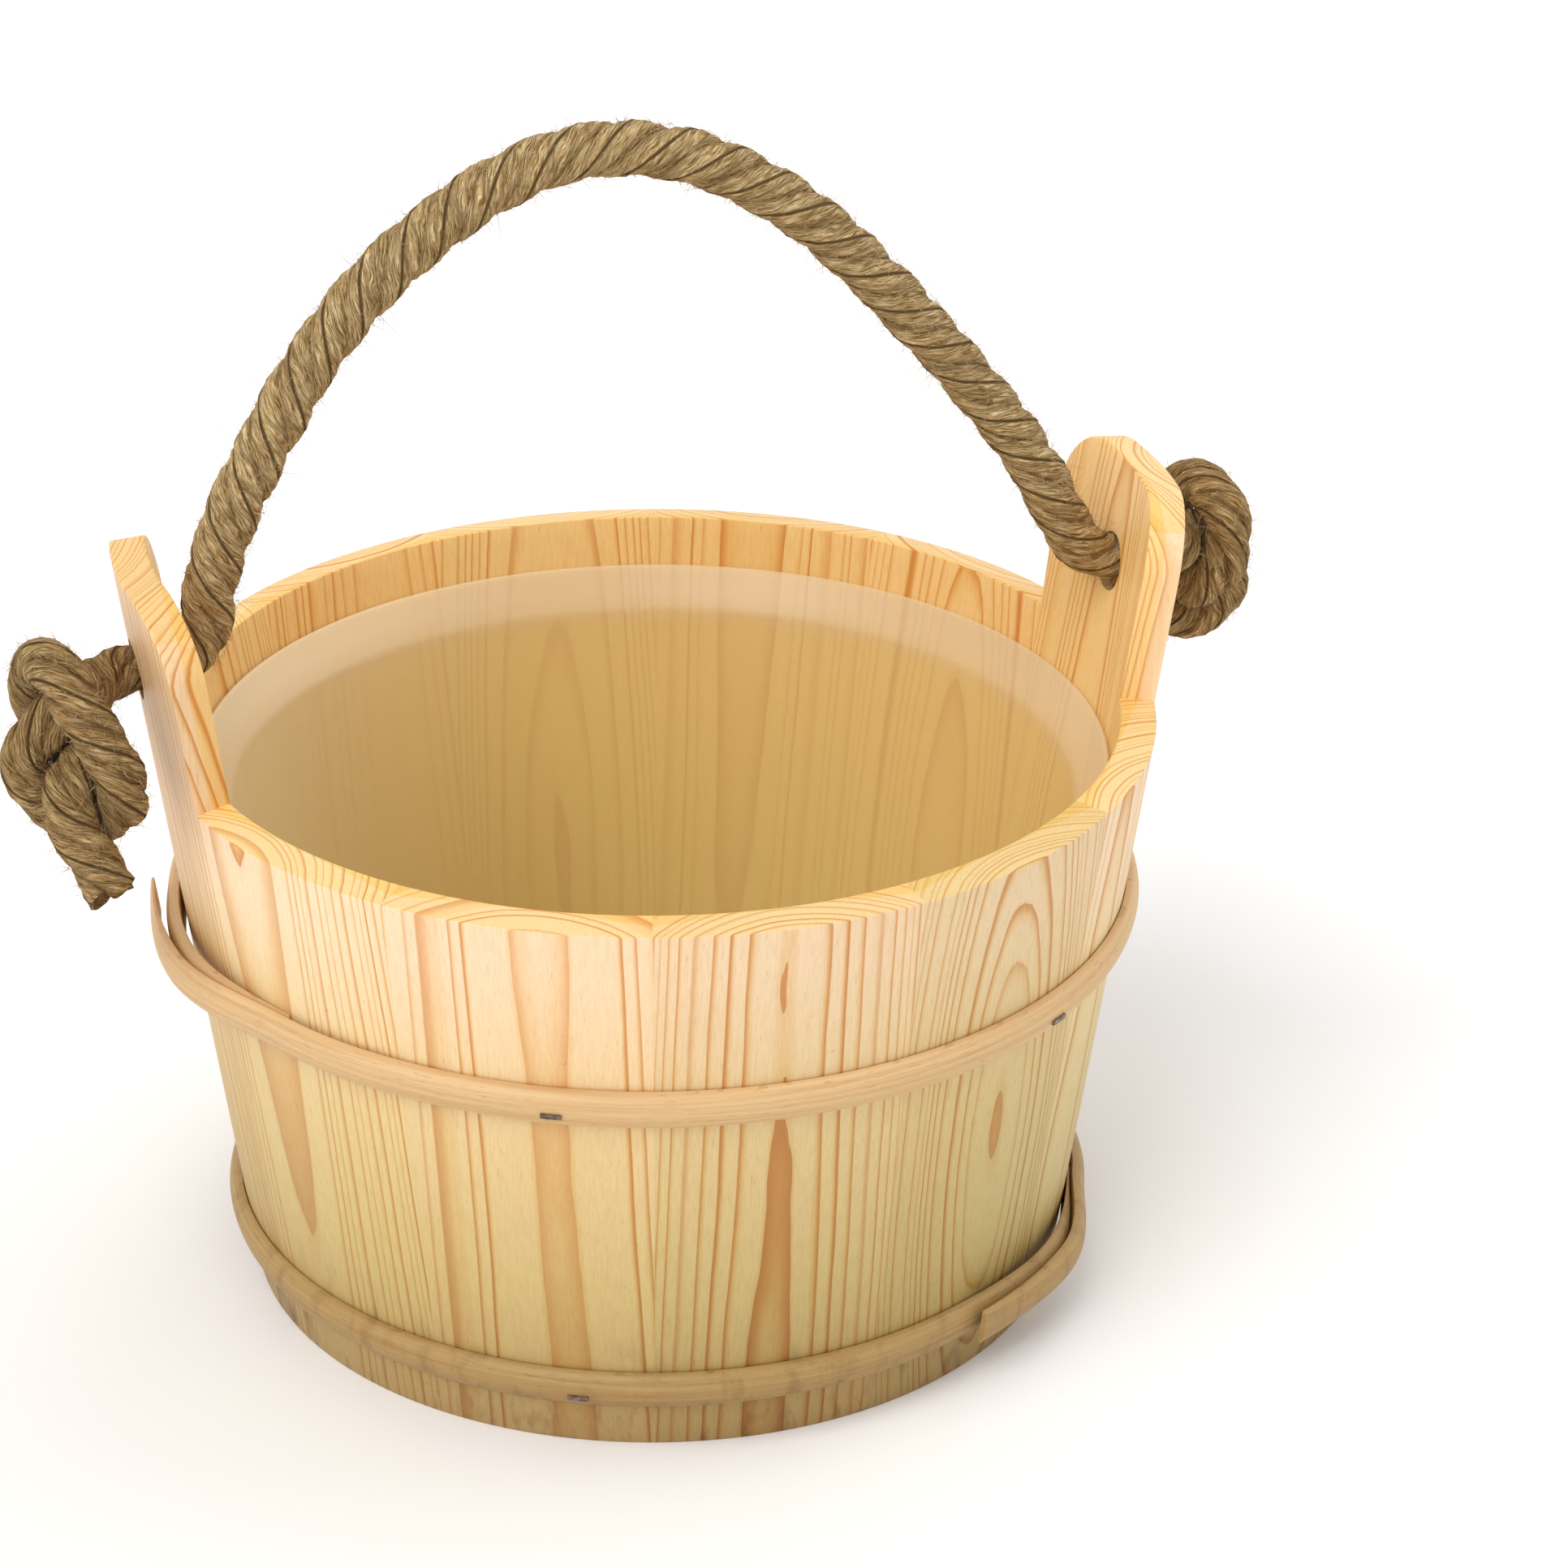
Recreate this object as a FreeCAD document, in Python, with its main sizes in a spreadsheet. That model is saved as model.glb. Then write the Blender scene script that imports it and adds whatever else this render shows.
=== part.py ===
import FreeCAD, Part
import math
import os
import Sketcher

# Coopered pine bucket with two ear staves, lapped wooden hoops, a rope bail and a lift-out liner.
# Millimetres. The origin is the middle of the foot on the floor, +Z is up, the ears are on X.

SIZES = {
    "foot_radius": 104,
    "rim_flare": 21,
    "rim_height": 150,
    "wall": 9,
    "rim_rise": 1.25,
    "stave_angle": 30,
    "ear_rise": 50.5,
    "ear_corner": 18.5,
    "bore_drop": 25.5,
    "bore_width": 15,
    "bore_bevel": 1,
    "croze_foot": 14,
    "croze_height": 5,
    "croze_depth": 4,
    "board_drop": 2,
    "board_thick": 9,
    "board_play": 0.38,
    "board_width": 67,
    "tongue_play": 0.66,
    "tongue_slack": 0.3,
    "hoop_high": 10,
    "hoop_thick": 4,
    "hoop_seat": 0.1,
    "upper_hoop_drop": 48,
    "lower_hoop_height": 17.5,
    "lap_stand": 2.4,
    "lap_ride": 6.6,
    "tip_thick": 1,
    "end_thick": 1.6,
    "staple_long": 5,
    "staple_wire": 1.2,
    "staple_leg": 7.5,
    "staple_proud": 0.4,
    "staple_drop": 1.2,
    "liner_seat": 0.3,
    "liner_foot_play": 6.48,
    "liner_neck_play": 6.39,
    "liner_rim_play": 0.39,
    "liner_drop": 11.5,
    "liner_collar": 10,
    "liner_wall": 1.3,
    "liner_round": 6,
    "rope_thick": 13.5,
    "knot_rope_thick": 12.2,
}

# Rope route points, millimetres: the curve starts and ends on the first and last one.
# The arch stands in the plane of the ears, from the left hole over to the right one.
BAIL_ROUTE = [
    (-127.0, 0.0, 175.0), (-117.3, 0.0, 175.0), (-111.2, 0.0, 181.2), (-108.6, 0.0, 202.2),
    (-95.3, 0.0, 229.2), (-80.1, 0.0, 254.4), (-57.8, 0.0, 277.3), (-26.1, 0.0, 295.5),
    (5.7, 0.0, 295.0), (36.5, 0.0, 277.6), (61.5, 0.0, 251.5), (84.8, 0.0, 223.4),
    (99.2, 0.0, 203.3), (108.2, 0.0, 184.0), (117.3, 0.0, 175.0), (127.0, 0.0, 175.0),
]

# The left end: out of the ear, round itself once as an overhand knot, and down to the cut tail.
# Pulled tight by the knot, the rope is thinner here.
KNOT_ROUTE = [
    (-127.0, 0.0, 175.0), (-131.4, 0.0, 175.0), (-138.8, -3.2, 174.8), (-142.3, -12.3, 174.3),
    (-149.9, -16.5, 173.1), (-156.9, -16.7, 167.6), (-158.4, -15.9, 158.7), (-154.3, -16.8, 150.9),
    (-146.8, -20.0, 147.3), (-139.7, -25.0, 149.3), (-137.0, -31.1, 155.3), (-138.3, -33.3, 163.7),
    (-141.9, -31.5, 171.5), (-145.8, -28.4, 178.4), (-148.8, -22.9, 184.5), (-151.2, -14.6, 186.5),
    (-153.2, -6.8, 182.6), (-153.6, -3.0, 174.5), (-150.9, -4.0, 166.2), (-146.2, -9.5, 160.8),
    (-143.9, -18.3, 160.8), (-149.0, -25.7, 160.6), (-151.2, -32.0, 154.5), (-148.0, -36.6, 147.8),
    (-144.4, -40.3, 141.0), (-142.7, -42.2, 137.5),
]

TURN = 360
STAVE_COUNT = 12
BEND_SHARE = 0.45

# The lap of a hoop, in degrees walked along the strip from its inner tip: where the strip stands
# off the wall most, where it is seated, how far before the tip its other end leaves the wall, and
# how far past the tip that end lies.
INNER_STAND_ANGLE = 20
INNER_SEAT_ANGLE = 42
OUTER_LEAVE_ANGLE = 27
LAP_SPAN_ANGLE = 39
LAP_STEP_ANGLE = 6.5

# Where the lap lies on each hoop: direction of its inner tip, degrees counted from +X.
UPPER_TIP_ANGLE = 208.6
LOWER_TIP_ANGLE = 339.0
# Directions of the staples, seen at the front and matched behind.
UPPER_STAPLE_ANGLES = (243.8, 307.5, 64.0, 126.0)
LOWER_STAPLE_ANGLES = (245.3, 304.5, 64.0, 126.0)

doc = FreeCAD.newDocument("bucket")
sheet = doc.addObject("Spreadsheet::Sheet", "Sizes")
for row, (word, number) in enumerate(SIZES.items(), start=1):
    sheet.set("A%d" % row, word)
    sheet.set("B%d" % row, str(number))
    sheet.setAlias("B%d" % row, word)
doc.recompute()


def size(word):
    """A driving size as the sheet holds it."""
    return float(sheet.get(word))


def plane_of(body, role):
    """The body's own origin plane with this role."""
    return [item for item in body.Origin.OriginFeatures if item.Role == role][0]


def bind(target, prop, text):
    """Binds a property to the sheet; every @ in the text stands for the sheet's name."""
    target.setExpression(prop, text.replace("@", "Sizes."))


def outline(body, name, role, corners):
    """Closed sketch of straight edges; a corner is two expressions, across and up."""
    sketch = body.newObject("Sketcher::SketchObject", name)
    sketch.AttachmentSupport = [(plane_of(body, role), "")]
    sketch.MapMode = "FlatFace"
    count = len(corners)
    ring = [2 * math.pi * place / count for place in range(count)]
    start = [FreeCAD.Vector(math.cos(turn), math.sin(turn), 0) * size("wall") for turn in ring]
    for here, there in zip(start, start[1:] + start[:1]):
        sketch.addGeometry(Part.LineSegment(here, there))
    for place in range(count):
        sketch.addConstraint(Sketcher.Constraint("Coincident", place, 2, (place + 1) % count, 1))
    for place, (across, up) in enumerate(corners):
        for kind, text in (("DistanceX", across), ("DistanceY", up)):
            item = sketch.addConstraint(Sketcher.Constraint(kind, -1, 1, place, 1, size("wall")))
            bind(sketch, "Constraints[%d]" % item, text)
    return sketch


def ring_sketch(body, name, role, up, width):
    """Sketch of one circle on the vertical axis, with its height and width bound."""
    sketch = body.newObject("Sketcher::SketchObject", name)
    sketch.AttachmentSupport = [(plane_of(body, role), "")]
    sketch.MapMode = "FlatFace"
    middle = FreeCAD.Vector(0, size("wall"), 0)
    sketch.addGeometry(Part.Circle(middle, FreeCAD.Vector(0, 0, 1), size("wall")))
    sketch.addConstraint(Sketcher.Constraint("PointOnObject", 0, 3, -2))
    item = sketch.addConstraint(Sketcher.Constraint("DistanceY", -1, 1, 0, 3, size("wall")))
    bind(sketch, "Constraints[%d]" % item, up)
    item = sketch.addConstraint(Sketcher.Constraint("Diameter", 0, size("wall")))
    bind(sketch, "Constraints[%d]" % item, width)
    return sketch


def spun(body, sketch, name, angle):
    """Turns a half section round the vertical axis, the same angle to both sides."""
    feature = body.newObject("PartDesign::Revolution", name)
    feature.Profile = sketch
    feature.ReferenceAxis = (sketch, ["V_Axis"])
    feature.Midplane = True
    bind(feature, "Angle", angle)
    sketch.Visibility = False
    return feature


def through(body, sketch, name):
    """Cuts the sketch out to both sides, all the way."""
    feature = body.newObject("PartDesign::Pocket", name)
    feature.Profile = sketch
    feature.Midplane = True
    feature.Type = 1
    sketch.Visibility = False
    return feature


def edges_where(shape, test):
    """Names of the edges whose middle point passes the test."""
    names = []
    for number, edge in enumerate(shape.Edges, start=1):
        middle = edge.valueAt((edge.FirstParameter + edge.LastParameter) / 2)
        if test(edge, middle):
            names.append("Edge%d" % number)
    return names


def dressed(body, kind, name, edges, prop, text):
    """Adds a fillet or a chamfer on the body's last feature, its size bound."""
    base = body.Tip
    feature = body.newObject(kind, name)
    feature.Base = (base, edges)
    bind(feature, prop, text)
    return feature


# Heights and slopes that follow from the driving sizes, as text for the sheet.
LEAN = "@rim_flare / @rim_height"
EAR_TOP = "(@rim_height + @ear_rise)"
CROZE_TOP = "(@croze_foot + @croze_height)"
BOARD_FOOT = "(@croze_foot - @board_drop)"
BOARD_TOP = "(@croze_foot - @board_drop + @board_thick)"


def outer(level):
    """Radius of the leaning wall's outside at a level, as text for the sheet."""
    return "@foot_radius + " + LEAN + " * " + level


def inner(level):
    """Radius of the leaning wall's inside at a level, as text for the sheet."""
    return "@foot_radius - @wall + " + LEAN + " * " + level


def slope():
    """How far the wall leans out for each millimetre up."""
    return size("rim_flare") / size("rim_height")


def seat_radius(height):
    """Radius where a hoop's flat side sits at a height."""
    return size("foot_radius") + slope() * height + size("hoop_seat")


def stave_section(top):
    """Half section of a stave up to the given height: leaning wall with the croze notch inside."""
    return [
        ("@foot_radius", "0"),
        (outer(top), top),
        (inner("(" + top + " + @rim_rise)"), top + " + @rim_rise"),
        (inner(CROZE_TOP), CROZE_TOP),
        (inner(CROZE_TOP) + " + @croze_depth", CROZE_TOP),
        (inner(CROZE_TOP) + " + @croze_depth", "@croze_foot"),
        (inner("@croze_foot"), "@croze_foot"),
        ("@foot_radius - @wall", "0"),
    ]


def plain_stave(label, turn):
    """One short stave: its radial sides meet its neighbours' face to face."""
    body = doc.addObject("PartDesign::Body", label)
    spun(body, outline(body, label + "_section", "XZ_Plane", stave_section("@rim_height")),
         label + "_spin", "@stave_angle")
    body.Placement.Rotation = FreeCAD.Rotation(FreeCAD.Vector(0, 0, 1), turn)
    return body


def ear_stave(label, turn):
    """One long stave: rounded top corners and a bored rope hole with softened edges."""
    body = doc.addObject("PartDesign::Body", label)
    spun(body, outline(body, label + "_section", "XZ_Plane", stave_section(EAR_TOP)),
         label + "_spin", "@stave_angle")
    doc.recompute()
    top = size("rim_height") + size("ear_rise")
    corners = edges_where(body.Shape, lambda edge, middle: middle.z > top
                          and isinstance(edge.Curve, Part.Line) and abs(middle.y) > size("wall"))
    dressed(body, "PartDesign::Fillet", label + "_corners", corners, "Radius", "@ear_corner")
    doc.recompute()
    level = EAR_TOP + " - @bore_drop"
    through(body, ring_sketch(body, label + "_bore_ring", "YZ_Plane", level, "@bore_width"),
            label + "_bore")
    doc.recompute()
    reach = size("bore_width")
    middle_height = top - size("bore_drop")
    mouths = edges_where(body.Shape, lambda edge, middle: edge.Closed
                         and abs(middle.z - middle_height) < reach)
    dressed(body, "PartDesign::Chamfer", label + "_bevel", mouths, "Size", "@bore_bevel")
    body.Placement.Rotation = FreeCAD.Rotation(FreeCAD.Vector(0, 0, 1), turn)
    return body


def base_board(label, left, right):
    """One board of the round bottom: a disc with a thinned edge, trimmed to a strip."""
    body = doc.addObject("PartDesign::Body", label)
    radius = inner(BOARD_FOOT) + " - @board_play"
    tongue = inner(CROZE_TOP) + " + @croze_depth - @tongue_play"
    tongue_top = CROZE_TOP + " - @tongue_slack"
    section = [
        ("0", BOARD_FOOT),
        (radius, BOARD_FOOT),
        (radius, "@croze_foot"),
        (tongue, "@croze_foot"),
        (tongue, tongue_top),
        (radius, tongue_top),
        (radius, BOARD_TOP),
        ("0", BOARD_TOP),
    ]
    disc = body.newObject("PartDesign::Revolution", label + "_spin")
    disc.Profile = outline(body, label + "_section", "XZ_Plane", section)
    disc.ReferenceAxis = (disc.Profile[0], ["V_Axis"])
    disc.Angle = TURN
    doc.recompute()
    for side, line in (("left", left), ("right", right)):
        if line:
            far = "-@foot_radius" if side == "left" else "@foot_radius"
            box = [(line, "-@foot_radius"), (far, "-@foot_radius"), (far, "@foot_radius"),
                   (line, "@foot_radius")]
            through(body, outline(body, label + "_" + side + "_trim", "XY_Plane", box),
                    label + "_" + side + "_cut")
            doc.recompute()
    return body


def eased(table, along):
    """Stand-off and thickness at a place along the strip, eased between the table's rows."""
    for (a, stand_a, thick_a), (b, stand_b, thick_b) in zip(table, table[1:]):
        if along <= b:
            part = (along - a) / (b - a)
            ease = part * part * (3 - 2 * part)
            return stand_a + (stand_b - stand_a) * ease, thick_a + (thick_b - thick_a) * ease
    return table[-1][1], table[-1][2]


def hoop_section(turn, height, stand, thick):
    """Half-round section of the strip, its flat side leaning like the wall."""
    lean = slope()
    half = size("hoop_high") / 2
    seat = seat_radius(height) + stand
    out = FreeCAD.Vector(math.cos(math.radians(turn)), math.sin(math.radians(turn)), 0)
    up = FreeCAD.Vector(0, 0, 1)
    low = out * (seat - lean * half) + up * (height - half)
    high = out * (seat + lean * half) + up * (height + half)
    crest = out * (seat + thick) + up * height
    round_side = Part.Arc(high, crest, low).toShape()
    return Part.Wire([Part.LineSegment(low, high).toShape(), round_side])


def lap_piece(height, tip, table):
    """One end of the strip as a smooth skin over sections set evenly along it."""
    first = table[0][0]
    span = table[-1][0] - first
    count = round(span / LAP_STEP_ANGLE)
    sections = []
    for place in range(count + 1):
        walked = first + span * place / count
        stand, thick = eased(table, walked)
        sections.append(hoop_section(tip - walked, height, stand, thick))
    return Part.makeLoft(sections, True, False, False, 3)


def hoop_strip(label, height, tip):
    """One bent strip: thinned tip on the wall, once round, then over its own tip to a thin end."""
    full = size("hoop_thick")
    ride = size("hoop_seat") + size("tip_thick")
    inner = ((0, 0, size("tip_thick")), (INNER_STAND_ANGLE, size("lap_stand"), full),
             (INNER_SEAT_ANGLE, 0, full))
    outer = ((TURN - OUTER_LEAVE_ANGLE, 0, full), (TURN, ride, full),
             (TURN + INNER_STAND_ANGLE, size("lap_ride"), full),
             (TURN + LAP_SPAN_ANGLE, size("lap_ride"), size("end_thick")))
    start = Part.Face(hoop_section(tip - INNER_SEAT_ANGLE, height, 0, full))
    ring = start.revolve(FreeCAD.Vector(0, 0, 0), FreeCAD.Vector(0, 0, 1),
                         INNER_SEAT_ANGLE - TURN + OUTER_LEAVE_ANGLE)
    strip = doc.addObject("Part::Feature", label)
    strip.Shape = ring.fuse([lap_piece(height, tip, inner), lap_piece(height, tip, outer)])
    strip.Placement = FreeCAD.Placement()
    return strip


def staple_shape(turn, height):
    """One wire staple driven square to the wall: flat crown along the hoop and two legs."""
    wire = size("staple_wire")
    long = size("staple_long")
    leg = size("staple_leg")
    crown = Part.makeBox(wire, long, wire)
    crown.translate(FreeCAD.Vector(-wire, -long / 2, -wire / 2))
    shape = crown
    for side in (-long / 2, long / 2 - wire):
        stem = Part.makeBox(leg, wire, wire)
        stem.translate(FreeCAD.Vector(-leg, side, -wire / 2))
        shape = shape.fuse(stem)
    shape = shape.removeSplitter()
    reach = seat_radius(height) + size("hoop_thick") + size("staple_proud")
    tilt = FreeCAD.Rotation(FreeCAD.Vector(0, 1, 0), math.degrees(math.atan(slope())))
    shape.Placement = FreeCAD.Placement(FreeCAD.Vector(reach, 0, height - size("staple_drop")), tilt)
    shape.rotate(FreeCAD.Vector(0, 0, 0), FreeCAD.Vector(0, 0, 1), turn)
    return shape


def staple_group(label, height, turns):
    """The staples of one hoop, separate wires in one group."""
    group = doc.addObject("Part::Feature", label)
    group.Shape = Part.makeCompound([staple_shape(turn, height) for turn in turns])
    group.Placement = FreeCAD.Placement()
    return group


def cut_by(label, base, tools):
    """The base less the tools, which keep their own place as pieces."""
    for number, tool in enumerate(tools, start=1):
        cut = doc.addObject("Part::Cut", "%s_cut%d" % (label, number))
        cut.Base = base
        cut.Tool = tool
        base = cut
    base.Label = label
    return base


def liner_tub(label):
    """Thin plastic tub with a sloping collar, rounded at the foot."""
    body = doc.addObject("PartDesign::Body", label)
    foot = BOARD_TOP + " + @liner_seat"
    rim = "(@rim_height - @liner_drop)"
    neck = "(@rim_height - @liner_drop - @liner_collar)"
    foot_radius = inner("(" + foot + ")") + " - @liner_foot_play"
    neck_radius = inner(neck) + " - @liner_neck_play"
    rim_radius = inner(rim) + " - @liner_rim_play"
    section = [
        ("0", foot),
        (foot_radius, foot),
        (neck_radius, neck),
        (rim_radius, rim),
        (rim_radius + " - @liner_wall", rim),
        (neck_radius + " - @liner_wall", neck + " + @liner_wall / 2"),
        (foot_radius + " - @liner_wall", foot + " + @liner_wall"),
        ("0", foot + " + @liner_wall"),
    ]
    tub = body.newObject("PartDesign::Revolution", label + "_spin")
    tub.Profile = outline(body, label + "_section", "XZ_Plane", section)
    tub.ReferenceAxis = (tub.Profile[0], ["V_Axis"])
    tub.Angle = TURN
    doc.recompute()
    wall = size("liner_wall")
    low = size("croze_foot") - size("board_drop") + size("board_thick") + size("liner_seat")
    for name, level, less in (("outside", low, "0"), ("inside", low + wall, "@liner_wall")):
        chosen = edges_where(body.Shape, lambda edge, middle: edge.Closed
                             and abs(middle.z - level) < wall / 4)
        dressed(body, "PartDesign::Fillet", label + "_" + name, chosen, "Radius",
                "@liner_round - " + less)
        doc.recompute()
    return body


def rope_path(points):
    """Straight runs joined by tangent arcs; returns the wire, the arc radii and its length."""
    pieces = []
    radii = []
    here = points[0]
    for before, corner, after in zip(points, points[1:], points[2:]):
        back = (before - corner).normalize()
        ahead = (after - corner).normalize()
        shorter = min((before - corner).Length, (after - corner).Length)
        tangent = BEND_SHARE * shorter
        half_turn = (math.pi - back.getAngle(ahead)) / 2
        radius = tangent / math.tan(half_turn)
        middle = (back + ahead).normalize()
        peak = corner + middle * (radius / math.cos(half_turn) - radius)
        start = corner + back * tangent
        stop = corner + ahead * tangent
        pieces.append(Part.LineSegment(here, start).toShape())
        pieces.append(Part.Arc(start, peak, stop).toShape())
        radii.append(radius)
        here = stop
    pieces.append(Part.LineSegment(here, points[-1]).toShape())
    wire = Part.Wire(pieces)
    return wire, radii, wire.Length


def closest_to_itself(wire, apart):
    """Least distance between parts of the path that are further than this along it."""
    count = int(wire.Length / (apart / 20))
    spots = wire.discretize(Number=count)
    step = wire.Length / (count - 1)
    skip = int(apart / step) + 1
    best = wire.Length
    for first in range(0, count - skip):
        for second in range(first + skip, count):
            best = min(best, (spots[first] - spots[second]).Length)
    return best


def rope(label, route, thick):
    """A length of rope as one tube along its route."""
    points = [FreeCAD.Vector(*spot) for spot in route]
    wire, radii, length = rope_path(points)
    disc = Part.Circle(points[0], points[1] - points[0], thick / 2).toShape()
    tube = doc.addObject("Part::Feature", label)
    tube.Shape = wire.makePipeShell([Part.Wire(disc)], True, False)
    tube.Placement = FreeCAD.Placement()
    ratio = tube.Shape.Volume / (math.pi * thick * thick / 4 * length)
    gap = closest_to_itself(wire, 2 * thick) - thick
    print("%s: length %.1f, least bend %.1f, gap to itself %.2f, volume over section by length %.4f"
          % (label, length, min(radii), gap, ratio))
    return tube


pieces = []
upper_height = size("rim_height") - size("upper_hoop_drop")
lower_height = size("lower_hoop_height")
upper_staples = staple_group("hoop_upper_staples", upper_height, UPPER_STAPLE_ANGLES)
lower_staples = staple_group("hoop_lower_staples", lower_height, LOWER_STAPLE_ANGLES)
both_groups = (upper_staples, lower_staples)
pinned = {round(turn / size("stave_angle")) % STAVE_COUNT
          for turn in UPPER_STAPLE_ANGLES + LOWER_STAPLE_ANGLES}
pieces.append(ear_stave("stave_ear_right", 0))
pieces.append(ear_stave("stave_ear_left", TURN / 2))
number = 0
for place in range(STAVE_COUNT):
    if place % (STAVE_COUNT // 2) == 0:
        continue
    number += 1
    label = "stave_%02d" % number
    turn = TURN * place / STAVE_COUNT
    if place in pinned:
        whole = plain_stave(label + "_whole", turn)
        pieces.append(cut_by(label, whole, both_groups))
    else:
        pieces.append(plain_stave(label, turn))
pieces.append(base_board("base_board_1", "", "-@board_width / 2"))
pieces.append(base_board("base_board_2", "-@board_width / 2", "@board_width / 2"))
pieces.append(base_board("base_board_3", "@board_width / 2", ""))
upper_strip = hoop_strip("hoop_upper_whole", upper_height, UPPER_TIP_ANGLE)
lower_strip = hoop_strip("hoop_lower_whole", lower_height, LOWER_TIP_ANGLE)
pieces.append(cut_by("hoop_upper", upper_strip, (upper_staples,)))
pieces.append(cut_by("hoop_lower", lower_strip, (lower_staples,)))
pieces.append(upper_staples)
pieces.append(lower_staples)
pieces.append(liner_tub("liner"))
pieces.append(rope("rope_bail", BAIL_ROUTE, size("rope_thick")))
pieces.append(rope("rope_end_left", KNOT_ROUTE, size("knot_rope_thick")))
pieces.append(rope("rope_end_right", [(-x, -y, z) for x, y, z in KNOT_ROUTE], size("knot_rope_thick")))
doc.recompute()

for item in doc.Objects:
    if "Invalid" in item.State or "Error" in item.State:
        raise RuntimeError("%s: %s" % (item.Label, item.State))
os.makedirs("parts", exist_ok=True)
for piece in pieces:
    shape = piece.Shape
    if shape.isNull() or not shape.isValid():
        raise RuntimeError("bad shape: " + piece.Label)
    shape.exportStep("parts/%s.step" % piece.Label)
    print("%s: volume %.0f, solids %d" % (piece.Label, shape.Volume, len(shape.Solids)))
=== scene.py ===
import math

import bmesh
import bpy
import numpy as np
from mathutils import Matrix, Vector


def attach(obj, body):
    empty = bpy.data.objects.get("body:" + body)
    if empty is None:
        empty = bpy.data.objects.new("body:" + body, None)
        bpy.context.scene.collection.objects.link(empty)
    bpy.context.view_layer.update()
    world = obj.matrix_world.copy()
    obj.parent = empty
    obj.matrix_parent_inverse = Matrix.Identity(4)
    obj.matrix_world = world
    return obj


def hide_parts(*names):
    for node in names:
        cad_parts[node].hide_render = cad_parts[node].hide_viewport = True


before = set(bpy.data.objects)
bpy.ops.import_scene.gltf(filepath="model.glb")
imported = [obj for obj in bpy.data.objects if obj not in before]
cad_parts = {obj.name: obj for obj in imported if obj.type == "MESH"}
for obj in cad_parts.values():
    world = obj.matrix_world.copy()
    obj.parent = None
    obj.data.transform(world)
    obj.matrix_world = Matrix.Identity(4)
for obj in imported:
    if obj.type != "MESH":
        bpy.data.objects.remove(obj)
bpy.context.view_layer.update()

# %% [markdown]
# # A coopered pine bucket with a rope bail
# The imported model is loaded first and stays fixed: it gives every piece its place, in metres, with
# the origin in the middle of the foot and the ears on X.

# %% [markdown]
# ## The camera
# A picture of a round rim tells where the camera stood: the rim's ellipse gives the height of the
# eye, and the way the bucket narrows towards its foot gives the distance. The eye looks down at
# 26 degrees and stands a little to the left of the front. The camera is built from three
# directions at right angles: back towards the eye, right and up in the picture.

# %% Camera from its three directions
EYE_AZIMUTH = math.radians(-16.5)
EYE_ELEVATION = math.radians(26.055)
EYE_DISTANCE = 1.25833
EYE_SHIFT_RIGHT = 0.032577
EYE_SHIFT_UP = 0.114897
EYE_ROLL = math.radians(-0.49)
SENSOR = 36.0
PICTURE_WIDTH = 1932
FOCAL_PIXELS = 5899.2
LENS = FOCAL_PIXELS / PICTURE_WIDTH * SENSOR


def eye_axes(azimuth, elevation):
    """Right, up and back of a level eye that looks at the bucket's axis."""
    back = Vector((math.sin(azimuth) * math.cos(elevation),
                   -math.cos(azimuth) * math.cos(elevation), math.sin(elevation)))
    right = Vector((math.cos(azimuth), math.sin(azimuth), 0))
    return right, back.cross(right), back


right, up, back = eye_axes(EYE_AZIMUTH, EYE_ELEVATION)
camera = bpy.data.objects.new("camera", bpy.data.cameras.new("camera"))
bpy.context.scene.collection.objects.link(camera)
camera.data.sensor_width = SENSOR
camera.data.lens = LENS
camera.data.clip_start = 0.05
camera.data.clip_end = 20
turned_right = right * math.cos(EYE_ROLL) - up * math.sin(EYE_ROLL)
turned_up = right * math.sin(EYE_ROLL) + up * math.cos(EYE_ROLL)
axes = Matrix((turned_right, turned_up, back)).transposed().to_4x4()
place = back * EYE_DISTANCE + right * EYE_SHIFT_RIGHT + up * EYE_SHIFT_UP
camera.matrix_world = Matrix.Translation(place) @ axes
bpy.context.scene.camera = camera
print("lens %.1f mm, eye at" % LENS, [round(v, 3) for v in place])

# %% [markdown]
# ## Helpers for worked-out surfaces
# Most pieces here are grids: a two-way array of points, worked out as a whole with numpy, whose
# neighbours are joined by four-sided faces. A grid may close on itself in either direction. One
# helper numbers the faces, one turns points and faces into a mesh with caps over its open ends,
# and the last gives a piece its material and its place in the model.


# %% From a grid of points to a mesh
def grid_faces(rows, columns, close_rows, close_columns):
    """Corner numbers of the faces between neighbouring rows and columns of a grid."""
    i = np.arange(rows if close_rows else rows - 1)[:, None]
    j = np.arange(columns if close_columns else columns - 1)[None]
    i2, j2 = (i + 1) % rows, (j + 1) % columns
    corners = [i * columns + j, i2 * columns + j, i2 * columns + j2, i * columns + j2]
    return np.stack(np.broadcast_arrays(*corners), -1).reshape(-1, 4)


def mesh_piece(name, points, faces, caps=(), smooth_angle=40):
    """A new object at the origin from points, four-sided faces and any end caps."""
    mesh = bpy.data.meshes.new(name)
    mesh.from_pydata(points.reshape(-1, 3).tolist(), [], faces.tolist() + [list(c) for c in caps])
    mesh.update()
    mesh.shade_smooth()
    mesh.set_sharp_from_angle(angle=math.radians(smooth_angle))
    piece = bpy.data.objects.new(name, mesh)
    bpy.context.scene.collection.objects.link(piece)
    return piece


def finished(piece, body, slot, material, *nodes):
    """Gives a piece its material and body and lets it stand for its solids."""
    piece.data.materials.clear()
    piece.data.materials.append(material)
    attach(piece, body)
    if nodes:
        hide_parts(*nodes)
    print(piece.name, len(piece.data.vertices), "points")
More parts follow.
